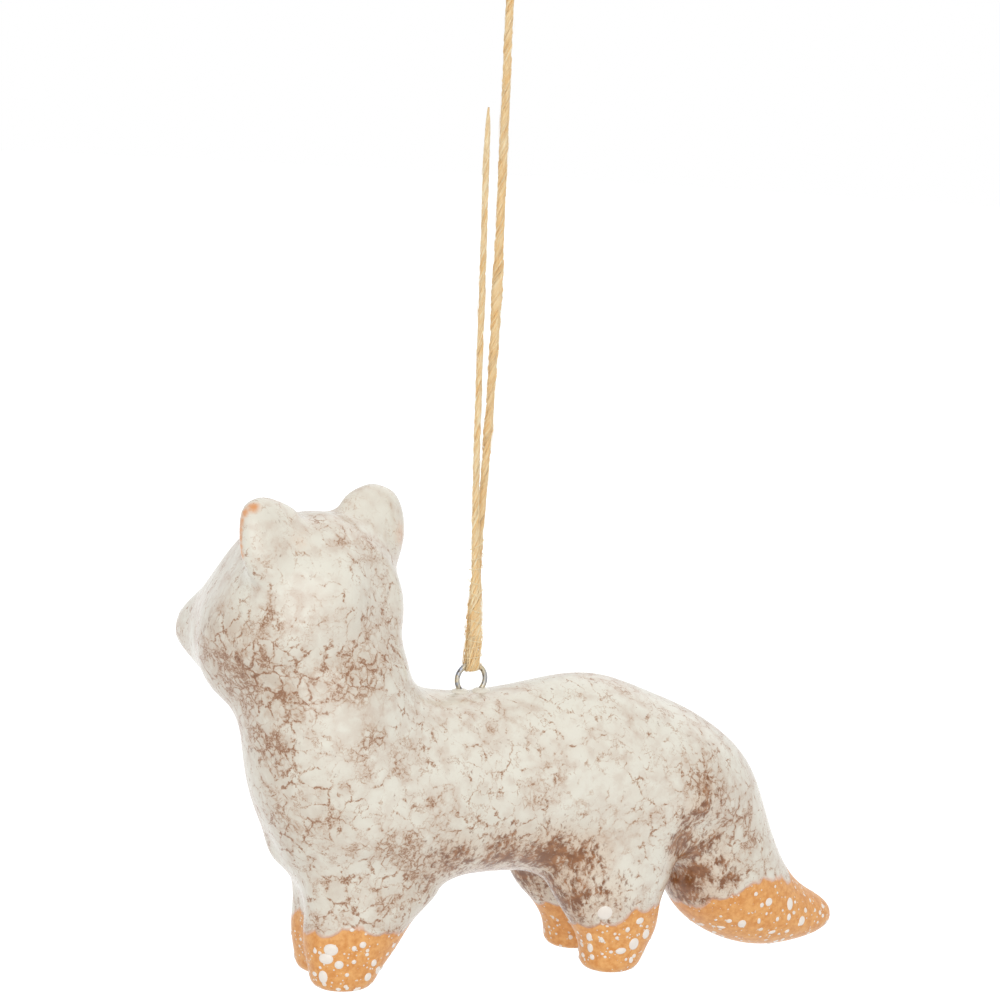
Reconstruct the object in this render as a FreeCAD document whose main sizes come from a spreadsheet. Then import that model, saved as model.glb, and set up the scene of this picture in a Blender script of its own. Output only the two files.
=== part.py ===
"""A small glazed ceramic fox that hangs from a length of natural yarn.

The fox faces -X with its head turned to its own right, +Y, and stands level.
The origin is the hang point, the inner top of the yarn's loop, and +Z is up.
Every piece is set out from the centre of the wire eye in the fox's back, and is
then lowered by the drop from the hang point to that eye.
"""

import FreeCAD, Part
import math
import os

Vector = FreeCAD.Vector

# Every driving size: alias, value in millimetres or degrees, and what it is.
SIZES = [
    ("hang_drop", 106.0, "hang point to the centre of the eye"),
    ("fox_length", 85.0, "chest to tail tip"),
    ("fox_height", 37.4, "centre of the eye to the soles"),
    ("trunk_width", 21.5, "side to side across the ribs"),
    ("tail_width", 14.0, "side to side across the brush"),
    ("wall", 3.0, "thickness of the cast clay"),
    ("head_wall", 4.8, "of the clay round the head, which drains last"),
    ("head_width", 24.2, "across the cheeks"),
    ("head_height", 22.5, "crown to jaw"),
    ("head_length", 35.0, "back of the head to the nose"),
    ("head_turn", 68.0, "degrees that the head is turned to its right"),
    ("head_pitch", 13.0, "degrees that the muzzle points down"),
    ("head_ahead", 21.8, "eye to the middle of the head, forwards"),
    ("head_aside", 3.0, "middle of the head, to the fox's right"),
    ("head_rise", 9.5, "eye to the middle of the head, upwards"),
    ("nose_radius", 1.5, "bead of clay at the end of the muzzle"),
    ("face_eye_radius", 1.7, "ball that presses an eye into the face"),
    ("face_eye_depth", 0.5, "how deep that ball goes"),
    ("face_eye_spacing", 20.0, "between the places before the face that its eyes look to"),
    ("face_eye_ahead", 16.0, "middle of the head to those places, forwards"),
    ("face_eye_rise", 9.0, "middle of the head to those places, upwards"),
    ("ear_spacing", 12.8, "between the middles of the ears' roots"),
    ("ear_width", 10.8, "of an ear near its root"),
    ("ear_depth", 6.0, "front to back of an ear near its root"),
    ("ear_height", 10.3, "root inside the head to tip"),
    ("ear_root", 4.2, "middle of the head to the ears' roots, upwards"),
    ("ear_behind", 4.5, "middle of the head to the ears' roots, backwards"),
    ("ear_splay", 22.0, "degrees that the ears lean outwards"),
    ("ear_scoop", 2.7, "half width of the hollow in an ear's front"),
    ("fore_reach", 17.1, "eye to the front feet, forwards"),
    ("fore_spacing", 7.0, "between the front feet's middles"),
    ("fore_stagger", 1.0, "right front foot behind the left one"),
    ("fore_size", 17.6, "length of a front leg's root"),
    ("hind_reach", 18.8, "eye to the hind feet, backwards"),
    ("hind_spacing", 10.6, "between the hind feet's middles"),
    ("hind_stagger", 0.1, "right hind foot behind the left one"),
    ("hind_size", 17.0, "length of a hind leg's root"),
    ("leg_height", 21.0, "sole to the root inside the trunk"),
    ("leg_width", 11.0, "side to side of a leg at its root"),
    ("vent_radius", 1.2, "hole in the belly that lets the kiln's heat out"),
    ("vent_behind", 1.0, "eye to the vent, backwards"),
    ("eye_radius", 1.92, "middle of the eye's wire, from the eye's centre"),
    ("eye_wire", 0.32, "radius of the eye's wire"),
    ("eye_bend", 0.7, "radius of the wire's other bends, at its middle"),
    ("eye_spread", 48.0, "degrees below level where the ring bends into its legs"),
    ("eye_leg", 3.2, "straight length of a leg set in the clay"),
    ("eye_foot", 0.8, "straight length of a leg's turned-out foot"),
    ("pad_radius", 4.4, "lump of clay inside that holds the eye's legs"),
    ("pad_depth", 1.6, "turned-out feet to the underside of that lump"),
    ("yarn", 0.95, "diameter of the yarn"),
    ("bight_width", 1.8, "yarn pressed flat where it goes through the eye"),
    ("bight_thickness", 0.5, "of that flat stretch"),
    ("bight_clear", 0.05, "between the yarn and the eye's wire"),
    ("bight_top", 5.4, "eye's centre to where the yarn is round again"),
    ("cut_end", 71.5, "eye's centre to the short strand's cut end"),
    ("knot_radius", 1.3, "of the knot under the loop"),
    ("knot_clear", 0.1, "between the knot and each yarn end at it"),
    ("loop_drop", 20.0, "hang point to the middle of the knot"),
    ("loop_gap", 0.2, "between the loop's legs where they leave the knot"),
    ("hook_radius", 2.5, "of the hook or nail that the loop hangs on"),
]


def make_sheet(doc):
    """Writes the sizes into a spreadsheet, one aliased cell to a line."""
    sheet = doc.addObject("Spreadsheet::Sheet", "sizes")
    for line, (alias, value, meaning) in enumerate(SIZES, start=1):
        sheet.set("A%d" % line, alias)
        sheet.set("B%d" % line, str(value))
        sheet.set("C%d" % line, meaning)
        sheet.setAlias("B%d" % line, alias)
    doc.recompute()
    return sheet


doc = FreeCAD.newDocument("hanging_fox")
sheet = make_sheet(doc)


def size(alias):
    """The value that a named cell of the sheet holds."""
    return float(sheet.get(alias))


def bind(thing, **expressions):
    """Binds properties to the sheet; a double underscore stands for a dot."""
    for name, expression in expressions.items():
        thing.setExpression(name.replace("__", "."), expression)
    return thing


def primitive(kind, name, **expressions):
    return bind(doc.addObject("Part::" + kind, name), **expressions)


def place(thing, x="0", y="0", z="0", turn="rotationx(0)"):
    """Places an object by expressions."""
    thing.setExpression("Placement", "placement(vector(%s; %s; %s); %s)" % (x, y, z, turn))
    return thing


def joined(name, *pieces):
    thing = doc.addObject("Part::MultiFuse", name)
    thing.Shapes = list(pieces)
    return thing


def cut(name, base, tool):
    thing = doc.addObject("Part::Cut", name)
    thing.Base = base
    thing.Tool = tool
    return thing


def feature(name, shape):
    thing = doc.addObject("Part::Feature", name)
    thing.Shape = shape
    return thing


def egg(centre, up, side, fullness_share=0.0):
    """Points round one egg-shaped cross-section, counted from its flank.

    up and side reach from its centre to its top and to its flank, and a
    fullness above nothing makes it wider below its middle than above.
    """
    corner_count = 8
    points = []
    for corner in range(corner_count):
        turn = math.tau * corner / corner_count
        flank = math.cos(turn) * (1 - fullness_share * math.sin(turn))
        points.append(centre + up * math.sin(turn) + side * flank)
    return points


def middle_of(points):
    return sum(points, Vector()) * (1 / len(points))


def dome_slope(tip, poles, near, span):
    """How fast a line of the skin runs when it reaches a rounded tip.

    It arrives square to the axis, as a line on a dome does, a quarter circle
    after it left the nearest section.
    """
    axis = (middle_of(poles) - tip).normalize()
    across = near - tip
    return (across - axis * across.dot(axis)) * (math.pi / 2 / span)


def skin(name, rings, start_tip=None, end_tip=None):
    """A solid under one smooth skin through cross-sections, which no loft gives.

    Each section becomes a closed curve, and each line along the skin runs
    smoothly through the same pole of every section. An end is a rounded tip, or
    flat where no tip is given.
    """
    laps = [float(corner) for corner in range(len(rings[0]) + 1)]
    rows = []
    for points in rings:
        section = Part.BSplineCurve()
        section.interpolate(Points=points, PeriodicFlag=True, Parameters=laps)
        rows.append(section.getPoles())
    if start_tip:
        rows.insert(0, [start_tip] * len(rows[0]))
    if end_tip:
        rows.append([end_tip] * len(rows[0]))
    stations = [0.0]
    for row, following in zip(rows, rows[1:]):
        steps = [pole.distanceToPoint(other) for pole, other in zip(row, following)]
        stations.append(stations[-1] + sum(steps) / len(steps))
    spans = stations[1] - stations[0], stations[-1] - stations[-2]
    grid = []
    for poles in zip(*rows):
        first, last = (poles[1] - poles[0]) / spans[0], (poles[-1] - poles[-2]) / spans[1]
        if start_tip:
            first = dome_slope(start_tip, rows[1], poles[1], spans[0])
        if end_tip:
            last = -dome_slope(end_tip, rows[-2], poles[-2], spans[1])
        line = Part.BSplineCurve()
        line.interpolate(
            Points=list(poles),
            Parameters=stations,
            InitialTangent=first,
            FinalTangent=last,
            Scale=False,
        )
        grid.append(line.getPoles())
    surface = Part.BSplineSurface()
    surface.buildFromPolesMultsKnots(
        grid,
        section.getMultiplicities(),
        line.getMultiplicities(),
        section.getKnots(),
        line.getKnots(),
        True,
        False,
        section.Degree,
        line.Degree,
    )
    faces = [surface.toShape()]
    for tip, station in ((start_tip, stations[0]), (end_tip, stations[-1])):
        if not tip:
            faces.append(Part.Face(Part.Wire(surface.vIso(station).toShape())))
    shell = Part.Shell(faces)
    if len(faces) > 1:
        shell.sewShape()
    solid = Part.Solid(shell)
    if solid.Volume < 0:
        solid.reverse()
    return feature(name, solid)


# The fox's side view from the neck to the tail. Each line is one cross-section:
# its point on the back, forwards negative and upwards positive, its point on the
# throat, belly or tail's underside, and its half width. Lengths are shares of
# fox_length, heights of fox_height and widths of half the trunk_width.
SPINE_SHARES = [
    (-0.136, 0.210, -0.322, 0.210, 0.64),
    (-0.112, 0.084, -0.356, 0.030, 0.90),
    (-0.104, 0.020, -0.350, -0.190, 1.00),
    (-0.090, -0.012, -0.328, -0.420, 1.02),
    (-0.070, -0.026, -0.267, -0.636, 1.03),
    (-0.040, -0.036, -0.140, -0.690, 1.01),
    (0.012, -0.042, -0.026, -0.672, 0.97),
    (0.106, -0.018, 0.090, -0.668, 0.97),
    (0.212, -0.008, 0.196, -0.690, 1.00),
    (0.305, -0.082, 0.272, -0.700, 1.00),
    (0.387, -0.172, 0.320, -0.670, 0.94),
]
NECK_TIP_SHARES = (-0.240, 0.360)

# The brush goes on from the rump in the same way, with widths as shares of half
# the tail_width.
TAIL_SHARES = [
    (0.450, -0.284, 0.337, -0.656, 1.22),
    (0.493, -0.448, 0.348, -0.762, 1.08),
    (0.527, -0.634, 0.400, -0.914, 1.00),
    (0.564, -0.762, 0.482, -0.994, 0.86),
    (0.602, -0.828, 0.560, -0.998, 0.62),
]
TAIL_TIP_SHARES = (0.638, -0.920)

# The head, along the line of its muzzle. Each line is one cross-section: its
# place from the middle of the head as a share of head_length, its half width as a
# share of half the head_width, and its top and bottom as shares of half the
# head_height, measured from that line.
HEAD_SHARES = [
    (-0.270, 0.60, 0.70, -0.50),
    (-0.180, 0.86, 0.96, -0.92),
    (-0.050, 1.00, 1.04, -1.16),
    (0.110, 1.01, 0.99, -1.25),
    (0.240, 0.87, 0.83, -1.15),
    (0.360, 0.60, 0.55, -0.94),
    (0.480, 0.39, 0.31, -0.67),
    (0.580, 0.26, 0.13, -0.41),
]
HEAD_BACK_SHARES = (-0.312, 0.10)
HEAD_NOSE_SHARES = (0.625, -0.14)
NOSE_BEAD_SHARES = (0.598, -0.04)

# How much wider the trunk and the head are below their middles than above.
TRUNK_FULLNESS_SHARE = 0.06
HEAD_FULLNESS_SHARE = 0.14

# One leg, from its root inside the trunk down to the sole: height above the sole
# as a share of leg_height, then length and width as shares of the root's, and how
# far the section stands behind the foot as a share of the root's length.
FORE_SHARES = [
    (1.00, 0.85, 0.86, 0.14),
    (0.75, 1.02, 0.96, 0.16),
    (0.55, 1.01, 0.96, 0.20),
    (0.40, 0.82, 0.90, 0.11),
    (0.24, 0.68, 0.82, 0.05),
    (0.09, 0.51, 0.72, 0.01),
    (0.02, 0.42, 0.62, 0.00),
    (0.00, 0.34, 0.52, 0.00),
]
HIND_SHARES = [
    (1.00, 1.02, 0.94, -0.02),
    (0.72, 1.08, 0.98, -0.04),
    (0.48, 0.92, 0.94, -0.01),
    (0.27, 0.65, 0.80, 0.03),
    (0.10, 0.47, 0.66, 0.02),
    (0.02, 0.39, 0.58, 0.01),
    (0.00, 0.31, 0.48, 0.01),
]

# An ear, from its root inside the head to its tip: height as a share of
# ear_height, then width and depth as shares of the root's.
EAR_SHARES = [(0.00, 0.86, 1.10), (0.42, 0.98, 0.98), (0.72, 0.82, 0.76), (0.92, 0.49, 0.52)]

# The hollow in an ear's front: how high its middle is and how high it reaches
# from there, as shares of ear_height, and how far out it lies and how deep it
# goes as shares of ear_depth.
SCOOP_RISE_SHARE = 0.62
SCOOP_REACH_SHARE = 0.30
SCOOP_FRONT_SHARE = 0.38
SCOOP_DEPTH_SHARE = 0.20


def spine_ring(shares, width, inset=0.0):
    """One cross-section of the trunk or the tail, drawn in by an inset."""
    back_x, back_z, low_x, low_z, width_share = shares
    back = Vector(back_x * size("fox_length"), 0, back_z * size("fox_height"))
    low = Vector(low_x * size("fox_length"), 0, low_z * size("fox_height"))
    up = (back - low) * 0.5
    return egg(
        (back + low) * 0.5,
        up * (1 - inset / up.Length),
        Vector(0, width_share * width / 2 - inset, 0),
        TRUNK_FULLNESS_SHARE,
    )


def make_spine():
    """Neck, chest, trunk and tail as one skin, because no seam shows there."""
    rings = [spine_ring(shares, size("trunk_width")) for shares in SPINE_SHARES]
    rings += [spine_ring(shares, size("tail_width")) for shares in TAIL_SHARES]
    tips = []
    for along, rise in (NECK_TIP_SHARES, TAIL_TIP_SHARES):
        tips.append(Vector(along * size("fox_length"), 0, rise * size("fox_height")))
    return skin("spine", rings, *tips)


def head_axes():
    """The head's middle, and its ahead, left and up directions."""
    turn, pitch = math.radians(size("head_turn")), math.radians(size("head_pitch"))
    level = Vector(-math.cos(turn), math.sin(turn), 0)
    left = Vector(0, 0, 1).cross(level)
    ahead = level * math.cos(pitch) - Vector(0, 0, math.sin(pitch))
    middle = Vector(-size("head_ahead"), size("head_aside"), size("head_rise"))
    return middle, ahead, left, ahead.cross(left)


def head_ring(shares, inset=0.0):
    """One cross-section of the head, drawn in by an inset."""
    middle, ahead, left, up = head_axes()
    along, width, top, bottom = shares
    half_height = size("head_height") / 2
    return egg(
        middle + ahead * along * size("head_length") + up * half_height * (top + bottom) / 2,
        up * (half_height * (top - bottom) / 2 - inset),
        left * (width * size("head_width") / 2 - inset),
        HEAD_FULLNESS_SHARE,
    )


def head_point(shares):
    """A place on the head's middle line: along it, and above or below it."""
    middle, ahead, left, up = head_axes()
    along, rise = shares
    return middle + ahead * along * size("head_length") + up * rise * size("head_height") / 2


def make_head():
    """Skull, cheeks and muzzle, along the line of the muzzle."""
    rings = [head_ring(shares) for shares in HEAD_SHARES]
    return skin("head", rings, head_point(HEAD_BACK_SHARES), head_point(HEAD_NOSE_SHARES))


def ball(name, centre, alias):
    """A ball whose radius is a size of the sheet."""
    thing = primitive("Sphere", name, Radius="sizes." + alias)
    thing.Placement.Base = centre
    return thing


def make_leg(name, shares, reach, aside, length):
    """A leg that tapers to a small foot with a flat, bare sole."""
    sole = -size("fox_height")
    rings = []
    for height, length_share, width_share, behind in shares:
        centre = Vector(reach + behind * length, aside, sole + height * size("leg_height"))
        along = Vector(length_share * length / 2, 0, 0)
        rings.append(egg(centre, along, Vector(0, width_share * size("leg_width") / 2, 0)))
    return skin(name, rings)


def make_legs():
    """Left and right legs, set a little out of step as on a hand-made piece."""
    fore, hind = size("fore_spacing") / 2, size("hind_spacing") / 2
    fore_x, hind_x = -size("fore_reach"), size("hind_reach")
    fore_right_x = fore_x + size("fore_stagger")
    hind_right_x = hind_x + size("hind_stagger")
    return [
        make_leg("fore_leg_left", FORE_SHARES, fore_x, -fore, size("fore_size")),
        make_leg("fore_leg_right", FORE_SHARES, fore_right_x, fore, size("fore_size")),
        make_leg("hind_leg_left", HIND_SHARES, hind_x, -hind, size("hind_size")),
        make_leg("hind_leg_right", HIND_SHARES, hind_right_x, hind, size("hind_size")),
    ]


def ear_axes(side):
    """An ear's root, and its leaning, across and ahead directions."""
    middle, ahead, left, up = head_axes()
    splay = math.radians(size("ear_splay"))
    out = left * side
    root = middle + out * size("ear_spacing") / 2 + up * size("ear_root") - ahead * size("ear_behind")
    lean = up * math.cos(splay) + out * math.sin(splay)
    return root, lean, out * math.cos(splay) - up * math.sin(splay), ahead


def make_ear(name, side):
    """A short rounded ear on the crown; side is 1 for the fox's left."""
    root, lean, across, ahead = ear_axes(side)
    rings = []
    for height, width, depth in EAR_SHARES:
        rings.append(
            egg(
                root + lean * height * size("ear_height"),
                across * width * size("ear_width") / 2,
                ahead * depth * size("ear_depth") / 2,
            )
        )
    return skin(name, rings, end_tip=root + lean * size("ear_height"))


def make_scoop(name, side):
    """The shallow hollow that a thumb leaves in the front of an ear."""
    root, lean, across, ahead = ear_axes(side)
    scoop = primitive(
        "Ellipsoid",
        name,
        Radius1="sizes.ear_height * %s" % SCOOP_REACH_SHARE,
        Radius2="sizes.ear_scoop",
        Radius3="sizes.ear_depth * %s" % SCOOP_DEPTH_SHARE,
    )
    front = ahead * size("ear_depth") * SCOOP_FRONT_SHARE
    scoop.Placement = FreeCAD.Placement(
        root + lean * size("ear_height") * SCOOP_RISE_SHARE + front,
        FreeCAD.Rotation(across, ahead, lean, "ZXY"),
    )
    return scoop


def make_face_eye(name, head, side):
    """The small dent of an eye, where the face is nearest to its place."""
    middle, ahead, left, up = head_axes()
    out = ahead * size("face_eye_ahead") + left * side * size("face_eye_spacing") / 2
    before = middle + out + up * size("face_eye_rise")
    nearest = head.Shape.distToShape(Part.Vertex(before))[1][0][0]
    press = size("face_eye_radius") - size("face_eye_depth")
    return ball(name, nearest + (before - nearest).normalize() * press, "face_eye_radius")


def past(ring, before):
    """A tip that rounds off a hollow, one wall past its last section."""
    middle = middle_of(ring)
    return middle + (middle - middle_of(before)).normalize() * size("wall")


def make_hollow():
    """The space that the slip leaves inside, with a lump under the eye."""
    wall = size("wall")
    trunk = [spine_ring(shares, size("trunk_width"), wall) for shares in SPINE_SHARES[1:]]
    trunk += [spine_ring(shares, size("tail_width"), wall) for shares in TAIL_SHARES[:-2]]
    skull = [head_ring(shares, size("head_wall")) for shares in HEAD_SHARES[1:-2]]
    back_of_skull = head_point(HEAD_BACK_SHARES) + head_axes()[1] * wall
    hollows = joined(
        "hollows",
        skin("trunk_hollow", trunk, past(trunk[0], trunk[1]), past(trunk[-1], trunk[-2])),
        skin("head_hollow", skull, back_of_skull, past(skull[-1], skull[-2])),
    )
    lump = primitive(
        "Cylinder",
        "eye_lump",
        Radius="sizes.pad_radius",
        Height="sizes.pad_depth + sizes.eye_leg + sizes.eye_bend + sizes.wall * 2",
    )
    place(lump, z=EYE_FOOT + " - sizes.pad_depth")
    return cut("hollows_round_lump", hollows, lump)


def make_fox(outside):
    """The fox's hollow body, with its vent and the holes that its eye sits in."""
    vent = primitive("Cylinder", "vent", Radius="sizes.vent_radius", Height="sizes.fox_height / 2")
    place(vent, x="sizes.vent_behind", z="-sizes.fox_height")
    scoops = [make_scoop("scoop_left", 1), make_scoop("scoop_right", -1)]
    spaces = joined("spaces", make_hollow(), vent, make_eye("eye_seat"), *scoops)
    return cut("fox_body", outside, spaces)


# Where the eye's wire goes: the reach and height of the middles of its second
# bends, the reach of its legs, and the height of its turned-out feet.
EYE_BEND_X = "(sizes.eye_radius + sizes.eye_bend) * cos(sizes.eye_spread)"
EYE_BEND_Z = "-(sizes.eye_radius + sizes.eye_bend) * sin(sizes.eye_spread)"
EYE_LEG_X = "(%s - sizes.eye_bend)" % EYE_BEND_X
EYE_FOOT = "(%s - sizes.eye_leg - sizes.eye_bend)" % EYE_BEND_Z


def wire_arc(name, radius, sweep, start, x="0", z="0"):
    """A bend of the eye's wire in the fox's middle plane, counted from +X."""
    bend = primitive("Torus", name, Radius1=radius, Radius2="sizes.eye_wire", Angle3=sweep)
    return place(bend, x=x, z=z, turn="rotationx(90) * rotationz(%s)" % start)


def wire_run(name, length, x, z, turn="rotationx(0)"):
    """A straight stretch of the eye's wire."""
    run = primitive("Cylinder", name, Radius="sizes.eye_wire", Height=length)
    return place(run, x=x, z=z, turn=turn)


def make_eye(name):
    """A ring of wire whose two ends run down into the clay and turn outwards."""
    pieces = [
        wire_arc(name + "_ring", "sizes.eye_radius", "180 + sizes.eye_spread * 2", "-sizes.eye_spread")
    ]
    leg_z = EYE_BEND_Z + " - sizes.eye_leg"
    for end, sign, shoulder, heel in (
        ("_fore", "-", "0", "270"),
        ("_hind", "", "180 - sizes.eye_spread", "180"),
    ):
        foot_x = "%s(%s + sizes.eye_bend)" % (sign, EYE_LEG_X)
        pieces += [
            wire_arc(
                name + end + "_shoulder",
                "sizes.eye_bend",
                "sizes.eye_spread",
                shoulder,
                sign + EYE_BEND_X,
                EYE_BEND_Z,
            ),
            wire_run(name + end + "_leg", "sizes.eye_leg", sign + EYE_LEG_X, leg_z),
            wire_arc(name + end + "_heel", "sizes.eye_bend", "90", heel, foot_x, leg_z),
            wire_run(name + end + "_foot", "sizes.eye_foot", foot_x, EYE_FOOT, "rotationy(%s90)" % sign),
        ]
    return joined(name, *pieces)


# The middle of the flat yarn, from the middle of the wire that it bends round.
BIGHT_REACH = "(sizes.eye_wire + sizes.bight_clear + sizes.bight_thickness / 2)"


def make_bight():
    """The yarn's bend through the eye, pressed flat and moulded round the wire."""
    legs = []
    for name, sign in (("bight_right", ""), ("bight_left", "-")):
        section = primitive(
            "Ellipse",
            name + "_section",
            MajorRadius="sizes.bight_width / 2",
            MinorRadius="sizes.bight_thickness / 2",
        )
        place(section, y=sign + BIGHT_REACH, z="sizes.eye_radius")
        leg = primitive("Extrusion", name, LengthFwd="sizes.bight_top - sizes.eye_radius")
        leg.Base = section
        leg.Dir = Vector(0, 0, 1)
        leg.Solid = True
        legs.append(leg)
    bend = primitive("Revolution", "bight_bend", Base__z="sizes.eye_radius")
    bend.Source = legs[0].Base
    bend.Axis = Vector(-1, 0, 0)
    bend.Angle = 180
    bend.Solid = True
    room = primitive(
        "Torus",
        "bight_room",
        Radius1="sizes.eye_radius",
        Radius2="sizes.eye_wire + sizes.bight_clear",
    )
    place(room, turn="rotationx(90)")
    return cut("cord_bight", joined("bight_band", bend, *legs), room)


def knot_height():
    """The middle of the knot above the centre of the eye."""
    return size("hang_drop") - size("loop_drop")


# The places that the strands pass between their ends, in millimetres from the
# eye's centre: the long one at the back, and the short one in front of it, which
# was cut off and stands free.
LONG_ROUTE = [(0.15, 0.60, 12), (0.30, 0.45, 20), (0.45, 0.20, 30), (0.40, 0.0, 46), (0.10, 0.0, 66)]
SHORT_ROUTE = [
    (-0.25, -0.60, 11),
    (-0.80, -0.55, 18.6),
    (-1.20, -0.50, 28),
    (-1.50, -0.38, 41),
    (-1.72, -0.30, 55),
    (-2.08, -0.20, 65.5),
]


def tube(name, edges):
    """A length of yarn whose middle follows the edges of a path."""
    path = Part.Wire(edges)
    start = path.Vertexes[0].Point
    ahead = edges[0].tangentAt(edges[0].FirstParameter)
    section = Part.Wire(Part.Circle(start, ahead, size("yarn") / 2).toShape())
    shape = path.makePipeShell([section], True, False)
    print(name, "length", path.Length, "volume share", shape.Volume / (path.Length * Part.Face(section).Area))
    return feature(name, shape)


def make_strand(name, points):
    """Yarn along straight runs, with each corner as round as its runs allow."""
    corners = []
    for before, point, after in zip(points, points[1:], points[2:]):
        back, ahead = (before - point), (after - point)
        shorter = min(back.Length, ahead.Length)
        back.normalize()
        ahead.normalize()
        half_turn = (math.pi - back.getAngle(ahead)) / 2
        trim = 0.45 * shorter
        radius = trim / math.tan(half_turn)
        print(name, "bend radius", radius)
        bisector = (back + ahead).normalize()
        middle = point + bisector * (radius / math.cos(half_turn) - radius)
        corners.append((point + back * trim, middle, point + ahead * trim))
    edges = []
    start = points[0]
    for first, middle, last in corners:
        edges.append(Part.LineSegment(start, first).toShape())
        edges.append(Part.Arc(first, middle, last).toShape())
        start = last
    edges.append(Part.LineSegment(start, points[-1]).toShape())
    return tube(name, edges)


def make_strands():
    """The long strand up to the knot, and the short one up to its cut end."""
    reach = size("eye_wire") + size("bight_clear") + size("bight_thickness") / 2
    foot = Vector(0, reach, size("bight_top"))
    knot_foot = knot_height() - size("knot_radius") - size("knot_clear")
    long_points = [foot, *(Vector(*place) for place in LONG_ROUTE), Vector(0, 0, knot_foot)]
    foot = Vector(0, -reach, size("bight_top"))
    short_points = [foot, *(Vector(*place) for place in SHORT_ROUTE)]
    short_points.append(Vector(SHORT_ROUTE[-1][0], SHORT_ROUTE[-1][1], size("cut_end")))
    return [make_strand("long_strand", long_points), make_strand("short_strand", short_points)]


def make_loop():
    """The loop that goes from the knot over a hook and back to the knot."""
    rest = size("hook_radius") + size("yarn") / 2
    hook = Vector(0, 0, size("hang_drop") - size("hook_radius"))
    end = Vector((size("yarn") + size("loop_gap")) / 2, 0, 0)
    end.z = knot_height() + size("knot_radius") + size("knot_clear")
    lean = math.asin(rest / hook.distanceToPoint(end)) - math.atan2(end.x, hook.z - end.z)
    touch = hook + Vector(math.cos(lean), 0, -math.sin(lean)) * rest
    far_end, far_touch = Vector(-end.x, 0, end.z), Vector(-touch.x, 0, touch.z)
    print("hanging_loop bend radius", rest)
    return tube(
        "hanging_loop",
        [
            Part.LineSegment(end, touch).toShape(),
            Part.Arc(touch, hook + Vector(0, 0, rest), far_touch).toShape(),
            Part.LineSegment(far_touch, far_end).toShape(),
        ],
    )


def make_knot():
    """The knot that gathers the loop's two legs above the long strand."""
    knot = primitive("Sphere", "cord_knot", Radius="sizes.knot_radius")
    return knot


def make_outside():
    """The fox as it looks from outside, still solid."""
    head = make_head()
    nose = ball("nose", head_point(NOSE_BEAD_SHARES), "nose_radius")
    pieces = [make_spine(), head, nose, *make_legs()]
    pieces += [make_ear("ear_left", 1), make_ear("ear_right", -1)]
    eyes = [make_face_eye("face_eye_left", head, 1), make_face_eye("face_eye_right", head, -1)]
    return cut("outside", joined("modelled", *pieces), joined("face_eyes", *eyes))


def hang(thing, rise="0"):
    """Lowers a finished piece from the eye's place to where it hangs."""
    thing.Label = thing.Name
    return bind(thing, Placement__Base__z="-sizes.hang_drop + " + rise)


finished = [
    hang(make_fox(make_outside())),
    hang(make_eye("hanging_eye")),
    hang(make_bight()),
    *[hang(strand) for strand in make_strands()],
    hang(make_knot(), "sizes.hang_drop - sizes.loop_drop"),
    hang(make_loop()),
]
doc.recompute()

for thing in doc.Objects:
    if "Invalid" in thing.State or "Error" in thing.State:
        raise RuntimeError("%s didn't build" % thing.Label)
for thing in finished:
    if thing.Shape.isNull() or not thing.Shape.isValid():
        raise RuntimeError("%s has no sound shape" % thing.Label)
    box = thing.Shape.BoundBox
    print(thing.Label, len(thing.Shape.Solids), "solid", round(thing.Shape.Volume, 2), "mm3", box)
print("fox centre", finished[0].Shape.Solids[0].CenterOfMass)

os.makedirs("parts", exist_ok=True)
for thing in finished:
    thing.Shape.exportStep("parts/%s.step" % thing.Label)
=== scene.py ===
import math
import random

import bmesh
import bpy
import numpy as np
from mathutils import Matrix, Vector
from mathutils.bvhtree import BVHTree


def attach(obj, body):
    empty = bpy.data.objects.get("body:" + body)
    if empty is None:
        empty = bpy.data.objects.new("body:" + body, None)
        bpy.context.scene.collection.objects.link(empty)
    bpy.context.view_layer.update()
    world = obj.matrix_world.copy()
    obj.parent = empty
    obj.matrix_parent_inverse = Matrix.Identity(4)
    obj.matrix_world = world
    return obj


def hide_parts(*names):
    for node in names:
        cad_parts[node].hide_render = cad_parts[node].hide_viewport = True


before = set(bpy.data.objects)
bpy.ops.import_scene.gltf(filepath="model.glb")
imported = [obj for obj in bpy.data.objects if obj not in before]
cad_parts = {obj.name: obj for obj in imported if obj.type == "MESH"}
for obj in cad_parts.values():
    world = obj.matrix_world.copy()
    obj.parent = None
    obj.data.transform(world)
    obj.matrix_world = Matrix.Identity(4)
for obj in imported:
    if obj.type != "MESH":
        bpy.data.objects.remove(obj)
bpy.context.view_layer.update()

MM = 0.001

# The camera looks at the fox's left side from a little in front of it, half a metre away, and is tipped
# a few degrees to one side. The wire eye is some millimetres left of the picture's middle, and below it.
EYE_CENTRE = Vector((0, 0, -0.106))
EYE_LEFT, EYE_BELOW = 3.625, 22.375
CAMERA_DISTANCE = 0.5
LENS, SENSOR = 144, 36
PICTURE_WIDTH = 1000
LENS_PIXELS = PICTURE_WIDTH * LENS / SENSOR
PIXELS_PER_MM = LENS_PIXELS * MM / CAMERA_DISTANCE
azimuth, elevation, roll = (math.radians(angle) for angle in (-26, 10.5, 3.3))
away = Vector(
    (
        math.sin(azimuth) * math.cos(elevation),
        -math.cos(azimuth) * math.cos(elevation),
        math.sin(elevation),
    )
)
level = Vector((math.cos(azimuth), math.sin(azimuth), 0))
upright = away.cross(level)
rightward = level * math.cos(roll) + upright * math.sin(roll)
upward = upright * math.cos(roll) - level * math.sin(roll)
camera_place = EYE_CENTRE + away * CAMERA_DISTANCE + rightward * EYE_LEFT * MM + upward * EYE_BELOW * MM
lens = bpy.data.cameras.new("camera")
lens.lens = LENS
lens.sensor_width = SENSOR
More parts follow.
